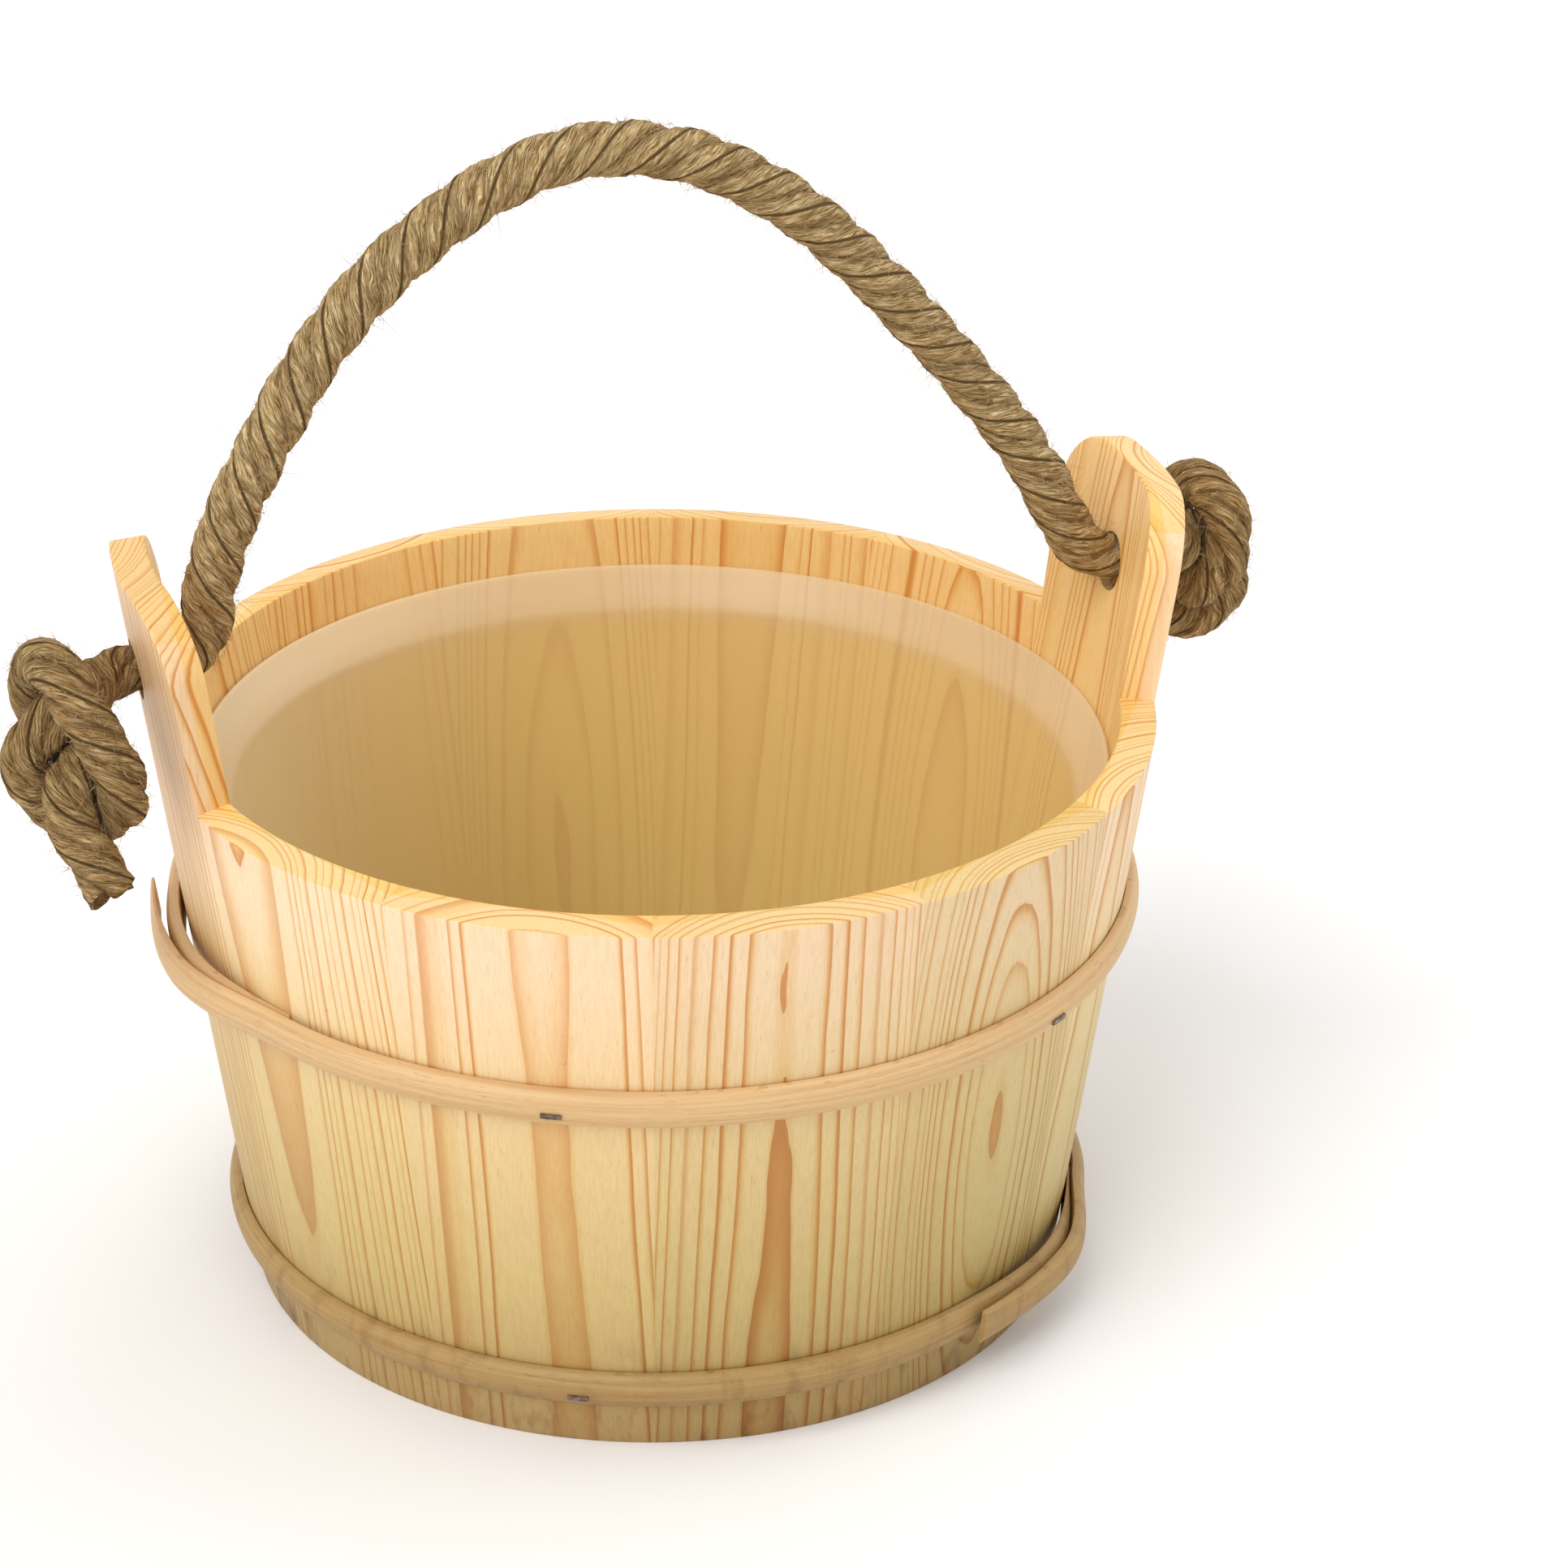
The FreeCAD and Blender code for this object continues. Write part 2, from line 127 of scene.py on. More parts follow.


# %% [markdown]
# ## The rope's line
# The bail is one rope, shown as three: the arch, and the end on each side with its overhand knot.
# Each follows a smooth line whose control points are listed. The line is a curve object
# with no thickness of its own, read back as a row of points for the strands to follow.

# %% Control points of the rope, in metres
ARCH = [
    (-0.1270, 0, 0.1750), (-0.1173, 0, 0.1750), (-0.1112, 0, 0.1812), (-0.1086, 0, 0.2022),
    (-0.0953, 0, 0.2292), (-0.0801, 0, 0.2544), (-0.0578, 0, 0.2773), (-0.0261, 0, 0.2955),
    (0.0057, 0, 0.2950), (0.0365, 0, 0.2776), (0.0615, 0, 0.2515), (0.0848, 0, 0.2234),
    (0.0992, 0, 0.2033), (0.1082, 0, 0.1840), (0.1173, 0, 0.1750), (0.1270, 0, 0.1750),
]
KNOT = [
    (-0.1270, 0.0000, 0.1750), (-0.1314, 0.0000, 0.1750), (-0.1388, -0.0032, 0.1748),
    (-0.1423, -0.0123, 0.1743), (-0.1499, -0.0165, 0.1731), (-0.1569, -0.0167, 0.1676),
    (-0.1584, -0.0159, 0.1587), (-0.1543, -0.0168, 0.1509), (-0.1468, -0.0200, 0.1473),
    (-0.1397, -0.0250, 0.1493), (-0.1370, -0.0311, 0.1553), (-0.1383, -0.0333, 0.1637),
    (-0.1419, -0.0315, 0.1715), (-0.1458, -0.0284, 0.1784), (-0.1488, -0.0229, 0.1845),
    (-0.1512, -0.0146, 0.1865), (-0.1532, -0.0068, 0.1826), (-0.1536, -0.0030, 0.1745),
    (-0.1509, -0.0040, 0.1662), (-0.1462, -0.0095, 0.1608), (-0.1439, -0.0183, 0.1608),
    (-0.1490, -0.0257, 0.1606), (-0.1512, -0.0320, 0.1545), (-0.1480, -0.0366, 0.1478),
    (-0.1444, -0.0403, 0.1410), (-0.1427, -0.0422, 0.1375),
]
ARCH_RADIUS = 0.00675
KNOT_RADIUS = 0.00630


def smooth_line(name, controls):
    """Points of the smooth curve that a row of control points pulls along, and its length."""
    curve = bpy.data.curves.new(name, "CURVE")
    curve.dimensions = "3D"
    curve.resolution_u = 24
    spline = curve.splines.new("NURBS")
    spline.points.add(len(controls) - 1)
    spline.points.foreach_set("co", np.array([(*p, 1) for p in controls], float).ravel())
    spline.order_u = 3
    spline.use_endpoint_u = True
    holder = bpy.data.objects.new(name, curve)
    bpy.context.scene.collection.objects.link(holder)
    mesh = bpy.data.meshes.new_from_object(holder)
    line = np.empty(len(mesh.vertices) * 3)
    mesh.vertices.foreach_get("co", line)
    line = line.reshape(-1, 3)
    bpy.data.objects.remove(holder)
    bpy.data.meshes.remove(mesh)
    length = float(np.linalg.norm(np.diff(line, axis=0), axis=1).sum())
    print(name, "%.1f mm along %d points" % (length * 1000, len(line)))
    return line, length


# %% [markdown]
# ## Three strands laid round that line
# A laid rope is three strands twisted about each other. Each strand's middle winds round the
# line as a screw, 40 mm for a full turn here, and the strand is pressed flat where it meets the
# other two. Worked out in numbers: a frame that doesn't spin is carried along the line, the
# strand's middle is set at a turning angle in it, and a ring of points is set round that middle.
# The twist of the strands' own yarns is left to the material. Inside the ears' holes the rope is
# squeezed a little thinner.

# %% Frame along a line and the strands round it
LAY_PITCH = 0.040
OFFSET_SHARE = 0.415
WIDE_SHARE = 0.585
SQUEEZE = 0.10
SQUEEZE_EASE = 0.005
ROPE_STEP = 0.0008
STRAND_SIDES = 26
TURN_WOBBLE = 0.10
TURN_WOBBLES = 24
SIZE_WOBBLE = 0.03
SIZE_WOBBLES = 30
FLATTENED = 0.25
WIDENED = 1.10
YARN_HEIGHT = 0.035
YARNS_ROUND = 7
YARN_TURNING = 150
RUFFLE = 0.015
FRAY_LENGTH = 0.004
FRAY_WIDTH = 0.0006


def evenly(line, step):
    """The same line with points at even steps, and the distance walked at each."""
    walked = np.r_[0, np.cumsum(np.linalg.norm(np.diff(line, axis=0), axis=1))]
    count = int(round(walked[-1] / step)) + 1
    at = np.linspace(0, walked[-1], count)
    return np.stack([np.interp(at, walked, line[:, k]) for k in range(3)], -1), at


def carried_frame(line):
    """Along, side and over at each point: each side is the last one, kept square to the line."""
    along = np.gradient(line, axis=0)
    along /= np.linalg.norm(along, axis=1, keepdims=True)
    side = np.empty_like(line)
    first = np.cross(along[0], (0.0, 1.0, 0.0))
    side[0] = first / np.linalg.norm(first)
    for k in range(1, len(line)):
        turned = side[k - 1] - along[k] * (side[k - 1] @ along[k])
        side[k] = turned / np.linalg.norm(turned)
    return along, side, np.cross(along, side)


def slow_chance(chance, at, count):
    """A random value that changes slowly along the line: drawn at even places, eased between."""
    return np.interp(at, np.linspace(0, at[-1], count), chance.normal(0, 1, count))


def strands(line, radius, seed, squeezed, tail=False):
    """Three strands: each ring of points is set round a middle that winds about the line."""
    line, at = evenly(line, ROPE_STEP)
    from_end = at if tail else np.minimum(at, at[-1] - at)
    radius = radius * (1 - SQUEEZE * np.clip((squeezed - from_end) / SQUEEZE_EASE, 0, 1))
    along, side, over = carried_frame(line)
    chance = np.random.default_rng(seed)
    ring = np.linspace(0, 2 * math.pi, STRAND_SIDES, endpoint=False)
    inward = np.clip(-np.cos(ring), 0, 1)[None]
    all_points, all_faces, all_caps, all_places = [], [], [], []
    used = 0
    for strand in range(3):
        wobble = slow_chance(chance, at, TURN_WOBBLES)
        turn = -2 * math.pi * (at / LAY_PITCH + strand / 3) + TURN_WOBBLE * wobble
        bulge = slow_chance(chance, at, SIZE_WOBBLES)
        out = side * np.cos(turn)[:, None] + over * np.sin(turn)[:, None]
        middle = line + out * (radius * OFFSET_SHARE)[:, None]
        tangent = np.gradient(middle, axis=0)
        tangent /= np.linalg.norm(tangent, axis=1, keepdims=True)
        across = np.cross(tangent, out)
        across /= np.linalg.norm(across, axis=1, keepdims=True)
        face = np.cross(across, tangent)
        yarns = 1 + YARN_HEIGHT * np.cos(YARNS_ROUND * (ring[None] + at[:, None] * YARN_TURNING))
        ruffle = 1 + RUFFLE * chance.normal(0, 1, (len(at), len(ring)))
        size = (radius * WIDE_SHARE * (1 + SIZE_WOBBLE * bulge))[:, None] * yarns * ruffle
        deep = size * np.cos(ring) * (1 - FLATTENED * inward)
        wide = size * np.sin(ring) * WIDENED
        points = (middle[:, None] + face[:, None] * deep[..., None]
                  + across[:, None] * wide[..., None])
        if tail:
            fray = np.clip((at - at[-1] + FRAY_LENGTH) / FRAY_LENGTH, 0, 1)[:, None, None]
            points = points + out[:, None] * FRAY_WIDTH * fray
        rows, columns = points.shape[:2]
        faces = grid_faces(rows, columns, False, True) + used
        start = list(range(used, used + columns))
        end = [used + (rows - 1) * columns + k for k in range(columns)]
        all_caps += [start, end[::-1]]
        all_points.append(points.reshape(-1, 3))
        all_faces.append(faces)
        across_place = np.broadcast_to(ring / (2 * math.pi), (rows, columns))
        along_place = np.broadcast_to(at[:, None], (rows, columns))
        all_places.append(np.stack([across_place + strand, along_place], -1).reshape(-1, 2))
        used += rows * columns
    return (np.concatenate(all_points), np.concatenate(all_faces), all_caps,
            np.concatenate(all_places), line)


def place_map(piece, places):
    """Writes each point's place, across and along, as an attribute that the material reads."""
    attribute = piece.data.attributes.new("place", "FLOAT2", "POINT")
    attribute.data.foreach_set("vector", places.astype(np.float32).ravel())


# %% [markdown]
# ## Stray fibres
# Coarse plant rope is hairy: short ends stand off it all along. Each hair is a thin
# three-sided thread that starts on the rope's skin, leans along it and curls outwards. All hairs
# are worked out together as one array: place on the line, angle round it, length and curl are
# drawn at random from a seeded source, so every run gives the same hairs.


# %% Hairs along a line
HAIR_SHORTEST = 0.0010
HAIR_LONGER = 0.0032
HAIR_LEAN = 1.6
HAIR_BEND = 0.9
HAIR_THICK = 0.00008
HAIR_STEPS = 5
HAIR_SIDES = 3
HAIR_SPACING = 0.001
HAIR_MARGIN = 3
SKIN = 0.93


def hairs(line, radius, count, seed):
    """Threads whose middles rise from the skin, drift along the rope and sway round it."""
    line, at = evenly(line, HAIR_SPACING)
    along, side, over = carried_frame(line)
    chance = np.random.default_rng(seed)
    spot = chance.integers(HAIR_MARGIN, len(line) - HAIR_MARGIN, count)
    angle = chance.uniform(0, 2 * math.pi, count)
    length = HAIR_SHORTEST + HAIR_LONGER * chance.random(count) ** 4
    lean = chance.uniform(-HAIR_LEAN, HAIR_LEAN, count)
    bend = chance.normal(0, HAIR_BEND, (count, 2))
    out = side[spot] * np.cos(angle)[:, None] + over[spot] * np.sin(angle)[:, None]
    round_way = np.cross(along[spot], out)
    steps = np.linspace(0, 1, HAIR_STEPS)
    reach = length[:, None] * steps
    rise = radius * SKIN + reach * 0.75
    drift = reach * lean[:, None] + bend[:, :1] * reach * steps
    sway = reach * steps * bend[:, 1:] * 1.2
    middle = (line[spot][:, None] + out[:, None] * rise[..., None]
              + along[spot][:, None] * drift[..., None] + round_way[:, None] * sway[..., None])
    thick = (HAIR_THICK * (1 - 0.7 * steps))[None, :, None, None]
    corner = 2 * math.pi / HAIR_SIDES * np.arange(HAIR_SIDES)
    ring = (round_way[:, None, None] * np.cos(corner)[None, None, :, None]
            + along[spot][:, None, None] * np.sin(corner)[None, None, :, None])
    points = middle[:, :, None] + ring * thick
    one = grid_faces(HAIR_STEPS, HAIR_SIDES, False, True)
    first = np.arange(count) * HAIR_STEPS * HAIR_SIDES
    faces = (one[None] + first[:, None, None]).reshape(-1, 4)
    return points.reshape(-1, 3), faces


# %% [markdown]
# ## Materials as small networks
# A material here is a network of nodes written in a few lines. The helper below adds a node, sets
# its values and wires its inputs, so that each finish reads from top to bottom.


# %% Node helper
class Network:
    """A material's node tree, with short calls to add and wire nodes."""

    def __init__(self, name):
        self.material = bpy.data.materials.new(name)
        self.material.use_nodes = True
        self.tree = self.material.node_tree
        self.shader = self.tree.nodes["Principled BSDF"]

    def add(self, kind, inputs=(), **settings):
        """Adds a node; inputs pair a socket's name or number with a value or another socket."""
        node = self.tree.nodes.new("ShaderNode" + kind)
        for key, value in settings.items():
            setattr(node, key, value)
        for key, value in dict(inputs).items():
            self.put(node.inputs[key], value)
        return node

    def put(self, socket, value):
        """Wires another socket into this one, or sets its value."""
        if isinstance(value, bpy.types.NodeSocket):
            self.tree.links.new(value, socket)
        else:
            socket.default_value = value

    def math(self, operation, a, b=0.0, c=0.0):
        """One step of arithmetic."""
        node = self.add("Math", {0: a, 1: b, 2: c}, operation=operation)
        return node.outputs[0]

    def noise(self, vector, scale, detail=2.0, rough=0.5):
        """Cloudy noise from 0 to 1 at a place."""
        node = self.add("TexNoise", {"Vector": vector, "Scale": scale, "Detail": detail,
                                     "Roughness": rough})
        return node.outputs["Fac"]

    def stretch(self, vector, scale, place=(0, 0, 0), turn=(0, 0, 0)):
        """The place stretched, moved and turned."""
        node = self.add("Mapping", {"Vector": vector, "Scale": scale, "Location": place,
                                    "Rotation": turn})
        return node.outputs[0]

    def ramp(self, factor, stops, mode="LINEAR"):
        """A colour for each value from 0 to 1, eased between the stops."""
        node = self.add("ValToRGB", {"Fac": factor})
        node.color_ramp.interpolation = mode
        points = node.color_ramp.elements
        while len(points) < len(stops):
            points.new(0.5)
        for point, (position, tone) in zip(points, stops):
            point.position = position
            point.color = (*tone, 1)
        return node.outputs[0]

    def blend(self, factor, a, b, mode="MIX"):
        """Two colours mixed."""
        node = self.add("Mix", {"Factor": factor}, data_type="RGBA", blend_type=mode)
        self.put(node.inputs[6], a)
        self.put(node.inputs[7], b)
        return node.outputs[2]

    def surface(self, **values):
        """Wires or sets the shader's own inputs; a name's underscores stand for spaces."""
        for name, value in values.items():
            self.put(self.shader.inputs[name.replace("_", " ")], value)

    def bump(self, height, distance, strength=1.0):
        """Fine relief for the shader."""
        node = self.add("Bump", {"Height": height, "Distance": distance, "Strength": strength})
        self.put(self.shader.inputs["Normal"], node.outputs[0])


BLACK = (0.0, 0.0, 0.0)
WHITE = (1.0, 1.0, 1.0)


def colour(red, green, blue):
    """A colour read off a screen, 0 to 255, as the linear values that a shader takes."""
    return tuple(((v / 255 + 0.055) / 1.055) ** 2.4 if v > 10 else v / 255 / 12.92
                 for v in (red, green, blue))


# %% [markdown]
# ## Rope fibre
# The rope is brown plant fibre. Its material reads the place on each strand that was written with
# the mesh: across and along. Long thin noise turned a little against the strand gives the yarns,
# darker between them, with straw-coloured hairs on top. A painted shade darkens each strand where
# it meets the other two, and the knots get a darker copy of the same fibre as painted shade.


# %% Material of the rope
STRAND_ROUND = 0.0226
YARN_SLANT = 0.30


def jute(name, shade):
    """Coarse brown fibre with light and dark streaks that run along the yarns."""
    net = Network(name)
    place = net.add("Attribute", attribute_name="place").outputs["Vector"]
    parts = net.add("SeparateXYZ", {0: place})
    across = net.math("MULTIPLY", parts.outputs[0], STRAND_ROUND)
    slip = net.math("MULTIPLY_ADD", parts.outputs[1], YARN_SLANT, across)
    plain = net.add("CombineXYZ", {0: slip, 1: parts.outputs[1], 2: 0.0}).outputs[0]
    tangle = net.noise(net.stretch(plain, (260, 230, 1), (1, 9, 0)), 1.0, 1.0)
    kink = net.math("SUBTRACT", tangle, 0.5)
    lined = net.add("CombineXYZ", {0: net.math("MULTIPLY_ADD", kink, 0.0026, slip),
                                   1: parts.outputs[1], 2: 0.0}).outputs[0]
    fine = net.noise(net.stretch(lined, (2900, 300, 1)), 1.0, 3.0, 0.72)
    yarn = net.noise(net.stretch(lined, (850, 75, 1), (7, 0, 0)), 1.0, 1.0)
    patch = net.noise(net.stretch(lined, (140, 60, 1), (3, 5, 0)), 1.0, 2.0)
    tone = net.ramp(fine, [(0.34, colour(78, 50, 26)), (0.43, colour(158, 124, 76)),
                           (0.52, colour(222, 194, 144)), (0.64, colour(255, 246, 212))])
    tone = net.blend(net.math("MULTIPLY", net.math("SUBTRACT", 0.52, yarn), 3.0), tone,
                     colour(120, 86, 50) + (1,))
    tone = net.blend(net.math("MULTIPLY", patch, 0.30), tone, colour(196, 164, 108) + (1,))
    # Painted shade: each strand is darkened on its inner side, where it meets the other two.
    turn = net.math("FRACT", parts.outputs[0])
    outward = net.math("ABSOLUTE", net.math("SUBTRACT", turn, 0.5))
    crease_shade = net.ramp(outward, [(0.22, (0.50, 0.42, 0.30)), (0.38, WHITE)], "EASE")
    tone = net.blend(1.0, tone, crease_shade, "MULTIPLY")
    # The shade multiplier tints the whole fibre; for the knots it is a painted shade.
    tone = net.blend(1.0, tone, shade + (1,), "MULTIPLY")
    net.surface(Base_Color=tone, Roughness=0.85, Specular_IOR_Level=0.15)
    relief = net.math("ADD", net.math("MULTIPLY", fine, 0.7), yarn)
    net.bump(relief, 0.0016, 1.0)
    return net.material


ARCH_FIBRE = jute("rope_fibre", (1.0, 0.94, 0.84))
# The knots get a darker copy of the same fibre: a painted shade.
SHADED_KNOT_FIBRE = jute("knot_fibre_painted_shade", (0.74, 0.64, 0.50))
net = Network("stray_fibre")
place = net.add("TexCoord").outputs["Object"]
patch = net.noise(net.stretch(place, (90, 90, 90)), 1.0)
straw = net.ramp(patch, [(0.3, colour(150, 120, 80)), (0.7, colour(214, 188, 142))])
net.surface(Base_Color=straw, Roughness=0.8)
STRAY_FIBRE = net.material

# %% Make the three ropes and their hairs
far_side = [(-x, -y, z) for x, y, z in KNOT]
for node, controls, radius, squeezed, far_end, seed, count in (
        ("rope_bail", ARCH, ARCH_RADIUS, 0.017, "object", 11, 4200),
        ("rope_end_left", KNOT, KNOT_RADIUS, 0.006, "bare", 23, 2000),
        ("rope_end_right", far_side, KNOT_RADIUS, 0.006, "bare", 37, 2000)):
    line, length = smooth_line(node + "_line", controls)
    points, faces, caps, places, path = strands(line, radius, seed, squeezed, far_end == "bare")
    rope = mesh_piece(node + "_strands", points, faces, caps, smooth_angle=180)
    place_map(rope, places)
    finished(rope, "bail", "jute", ARCH_FIBRE if node == "rope_bail" else SHADED_KNOT_FIBRE, node)
    fuzz_points, fuzz_faces = hairs(line, radius, count, seed + 1)
    fuzz = mesh_piece(node + "_hairs", fuzz_points, fuzz_faces, smooth_angle=180)
    finished(fuzz, "bail", "jute", STRAY_FIBRE)

# %% [markdown]
# ## Pine
# A stave is sawn flat from the log, so each face cuts the yearly rings at a slant: wide flames in
# the middle and narrow stripes at the sides, and curved rings on the end grain. The material
# holds a small log: the distance of each place from the log's heart, divided by the ring's width,
# tells the year, and its fraction tells the season. The heart lies outside the bucket, in front of
# each stave, which is why the rings on the rim curve inwards. Slow noise makes the rings wander.

# %% Pine for one stave
SPRING = colour(252, 229, 194)
SUMMER = colour(244, 211, 162)
AUTUMN = colour(226, 168, 104)
WINTER = colour(208, 138, 72)
FOOT_RADIUS = 0.104
WALL = 0.009
LEAN = 0.14
RIM_HEIGHT = 0.150
HALF_HEIGHT = RIM_HEIGHT / 2
RING_WANDER = 0.0022
RING_RIPPLE = 0.00045
CLIMATE_PACE = 190
CLIMATE_YEARS = 2.0


def foot_shade_and_stains(net, base, height):
    """A painted shade, darker and yellower towards the foot, with a few stains."""
    up = net.math("DIVIDE", height, RIM_HEIGHT)
    # Painted shade: the colour grows darker and yellower towards the foot.
    tint = net.ramp(up, [(0.0, (0.42, 0.38, 0.22)), (0.30, (0.64, 0.66, 0.42)),
                         (0.66, (0.86, 0.87, 0.68)), (0.92, WHITE)])
    place = net.add("TexCoord").outputs["Object"]
    damp = net.noise(net.stretch(place, (170, 170, 60)), 1.0, 3.0, 0.6)
    low = net.ramp(up, [(0.0, WHITE), (0.24, BLACK)])
    stain = net.math("MULTIPLY", net.math("MULTIPLY", low, net.math("SUBTRACT", damp, 0.52)), 5.0)
    shade_and_stains = net.blend(stain, tint, net.blend(1.0, tint, (0.50, 0.42, 0.34, 1), "MULTIPLY"))
    return net.blend(1.0, base, shade_and_stains, "MULTIPLY")


def pine(name, turn, heart, ring, slant, bow, phase, tint, seed):
    """Wood whose rings are circles round a heart beside the stave, seen along the stave."""
    net = Network(name)
    place = net.add("TexCoord").outputs["Object"]
    turned = net.add("VectorRotate", {"Vector": place, "Angle": -math.radians(turn)},
                     rotation_type="Z_AXIS").outputs[0]
    out, side, height = net.add("SeparateXYZ", {0: turned}).outputs
    depth = net.math("SUBTRACT", out, net.math("MULTIPLY_ADD", height, LEAN, FOOT_RADIUS))
    wander = net.stretch(turned, (26, 26, 7.0), (seed, seed * 1.7, seed * 0.6))
    slow = net.math("SUBTRACT", net.noise(wander, 1.0, 1.0), 0.5)
    ripple = net.stretch(turned, (150, 150, 17), (seed, 0, seed))
    fine = net.math("SUBTRACT", net.noise(ripple, 1.0), 0.5)
    middle = net.math("MULTIPLY", net.math("SUBTRACT", height, HALF_HEIGHT), 1 / HALF_HEIGHT)
    bent = net.math("MULTIPLY_ADD", net.math("MULTIPLY", middle, middle), bow, heart[1])
    side_off = net.math("MULTIPLY_ADD", height, slant[0], net.math("SUBTRACT", side, heart[0]))
    depth_off = net.math("SUBTRACT", net.math("MULTIPLY_ADD", height, slant[1], bent), depth)
    reach = net.math("SQRT", net.math("ADD", net.math("MULTIPLY", side_off, side_off),
                                      net.math("MULTIPLY", depth_off, depth_off)))
    reach = net.math("MULTIPLY_ADD", slow, RING_WANDER, reach)
    reach = net.math("MULTIPLY_ADD", fine, RING_RIPPLE, reach)
    years = net.math("ADD", net.math("DIVIDE", net.math("SUBTRACT", reach, heart[1]), ring), phase)
    climate = net.math("MULTIPLY_ADD", reach, CLIMATE_PACE, seed * 5.3)
    weather = net.add("TexNoise", {"W": climate, "Scale": 1.0, "Detail": 0.0},
                      noise_dimensions="1D").outputs["Fac"]
    years = net.math("MULTIPLY_ADD", weather, CLIMATE_YEARS, years)
    year = net.math("FLOOR", years)
    season = net.math("FRACT", years)
    luck = net.add("TexWhiteNoise", {"W": net.math("ADD", year, seed)}, noise_dimensions="1D")
    late = net.math("MULTIPLY_ADD", luck.outputs["Value"], 0.22, 0.80)
    rings = net.ramp(net.math("MULTIPLY", season, late),
                     [(0.0, SUMMER), (0.07, SPRING), (0.54, SPRING), (0.70, SUMMER), (0.81, AUTUMN),
                      (0.92, WINTER), (1.0, AUTUMN)])
    pale = net.math("MULTIPLY", net.math("POWER", luck.outputs["Color"], 2.0), 0.75)
    rings = net.blend(pale, rings, SPRING + (1,))
    fibre = net.noise(net.stretch(turned, (1500, 1500, 45)), 1.0, 3.0, 0.6)
    streak = net.math("MULTIPLY", net.math("SUBTRACT", fibre, 0.40), 0.55)
    rings = net.blend(streak, rings, WINTER + (1,))
    cloud = net.noise(net.stretch(turned, (17, 17, 7), (seed * 2, 3, seed)), 1.0, 2.0)
    blush = net.math("MULTIPLY", cloud, 0.45)
    rings = net.blend(blush, rings, colour(252, 214, 176) + (1,), "MULTIPLY")
    duct = net.noise(net.stretch(turned, (2600, 2600, 170)), 1.0, 0.0)
    dark = net.math("MULTIPLY", net.math("GREATER_THAN", duct, 0.80), 0.25)
    rings = net.blend(dark, rings, colour(170, 112, 62) + (1,))
    rings = net.blend(1.0, rings, tint + (1,), "MULTIPLY")
    facing = net.add("SeparateXYZ", {0: net.add("TexCoord").outputs["Normal"]}).outputs[2]
    rings = net.blend(net.math("GREATER_THAN", facing, 0.6), rings,
                      net.blend(1.0, rings, (0.93, 0.90, 0.66, 1), "MULTIPLY"))
    inside = net.math("LESS_THAN", depth, 0.0005 - WALL)
    rings = net.blend(net.math("MULTIPLY", inside, net.math("GREATER_THAN", height, 0.001)), rings,
                      net.blend(1.0, rings, (1.0, 0.92, 0.62, 1), "MULTIPLY"))
    # The base colour gets a painted shade towards the foot, with a few stains.
    net.surface(Base_Color=foot_shade_and_stains(net, rings, height), Specular_IOR_Level=0.35,
                Roughness=net.math("MULTIPLY_ADD", fibre, 0.18, 0.38))
    relief = net.math("ADD", net.math("MULTIPLY", season, 0.08), fibre)
    net.bump(relief, 0.00010, 0.5)
    return net.material


# %% [markdown]
# ## Staves
# A stave is a wall section carried round the bucket's axis through thirty degrees. The section
# leans outwards, its rim is cut square to the wall, and near the foot it has the notch that holds
# the bottom boards. Its long corners are a little rounded. The section is a closed row of points,
# and the grid is that row at each angle; the two side faces are the caps.

# %% One stave as a carried section
RIM_RISE = 0.00125
CROZE = (0.014, 0.019, 0.004)
EAR_HEIGHT = 0.2005
EAR_CORNER = 0.0185
BORE_HEIGHT = 0.175
BORE_RADIUS = 0.0075
SOFT_EDGE = 0.0004
SOFT_EAR_EDGE = 0.0006
HALF_STAVE = math.radians(15)
STAVE_SMOOTH = 35


def rounded(corner, before, after, radius, steps=4):
    """Points of a small arc that rounds one corner of a section."""
    corner, before, after = (np.array(p, float) for p in (corner, before, after))
    back = (before - corner) / np.linalg.norm(before - corner)
    ahead = (after - corner) / np.linalg.norm(after - corner)
    t = np.linspace(0, 1, steps)[:, None]
    start, end = corner + back * radius, corner + ahead * radius
    return (1 - t) ** 2 * start + 2 * t * (1 - t) * corner + t ** 2 * end


def outer(height):
    """Distance of the wall's outside from the axis."""
    return FOOT_RADIUS + LEAN * height


def inner(height):
    """Distance of the wall's inside from the axis."""
    return FOOT_RADIUS - WALL + LEAN * height


def stave_row(top, edge):
    """The wall section as a closed row of points, distance from the axis and height."""
    low, high, deep = CROZE
    corners = [(outer(0), 0), (outer(top), top), (inner(top + RIM_RISE), top + RIM_RISE)]
    foot = (inner(0), 0)
    row = [rounded(corners[0], foot, corners[1], edge)]
    climb = np.linspace(0.06, 0.94, 24)[:, None]
    row.append(np.array(corners[0]) * (1 - climb) + np.array(corners[1]) * climb)
    row.append(rounded(corners[1], corners[0], corners[2], edge))
    row.append(rounded(corners[2], corners[1], foot, edge))
    drop = np.linspace(0.03, 0.85, 16)[:, None]
    row.append(np.array(corners[2]) * (1 - drop) + np.array(foot) * drop)
    row.append(np.array([(inner(high), high), (inner(high) + deep, high),
                         (inner(high) + deep, low), (inner(low), low)]))
    row.append(rounded(foot, (inner(low), low), corners[0], edge))
    return np.concatenate(row)


